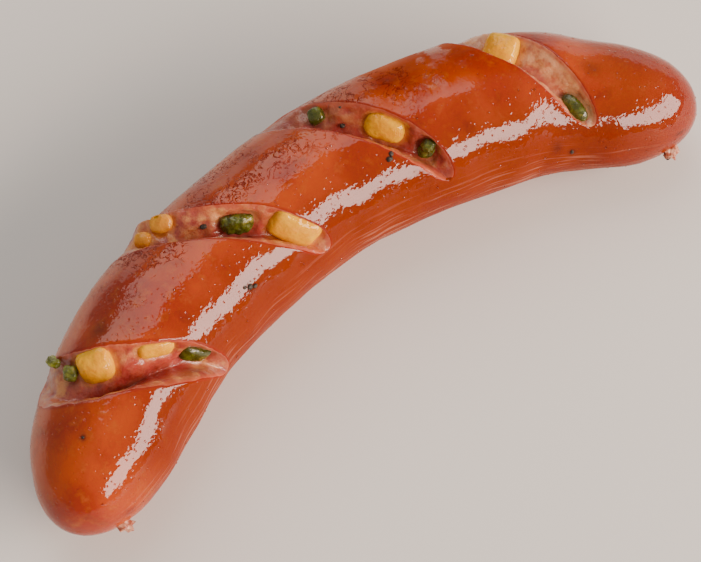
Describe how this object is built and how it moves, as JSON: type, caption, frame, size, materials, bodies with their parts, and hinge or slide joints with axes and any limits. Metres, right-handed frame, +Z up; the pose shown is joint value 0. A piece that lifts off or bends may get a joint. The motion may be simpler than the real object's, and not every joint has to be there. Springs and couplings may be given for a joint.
{
  "type": "grilled sausage with cheese and green pepper",
  "caption": "Curved grilled sausage lying flat, with slanted score cuts across its top that show diced cheese and green pepper in the meat.",
  "frame": {"origin": "middle of the bounding box in plan, at the height of the flat underside it rests on", "axes": "+X along the line between the two ends, from the thick end to the thin end; +Y towards the outer side of the bend; +Z up, towards the score cuts"},
  "size_m": [0.1644, 0.0546, 0.0322],
  "materials": {
    "casing": "thin grilled casing, orange red, glossy with fat",
    "cheese": "softened yellow cheese, smooth and oily",
    "pepper": "diced green pepper with a shiny skin side"
  },
  "bodies": {
    "root": {"sausage": "casing", "cheese_1_left": "cheese", "cheese_1_middle": "cheese", "cheese_2_edge": "cheese", "cheese_2_left": "cheese", "cheese_2_right": "cheese", "cheese_3": "cheese", "cheese_4": "cheese", "pepper_1_curl": "pepper", "pepper_1_dice": "pepper", "pepper_1_strip": "pepper", "pepper_2": "pepper", "pepper_3_dice": "pepper", "pepper_3_flake": "pepper", "pepper_4": "pepper"}
  },
  "joints": []
}
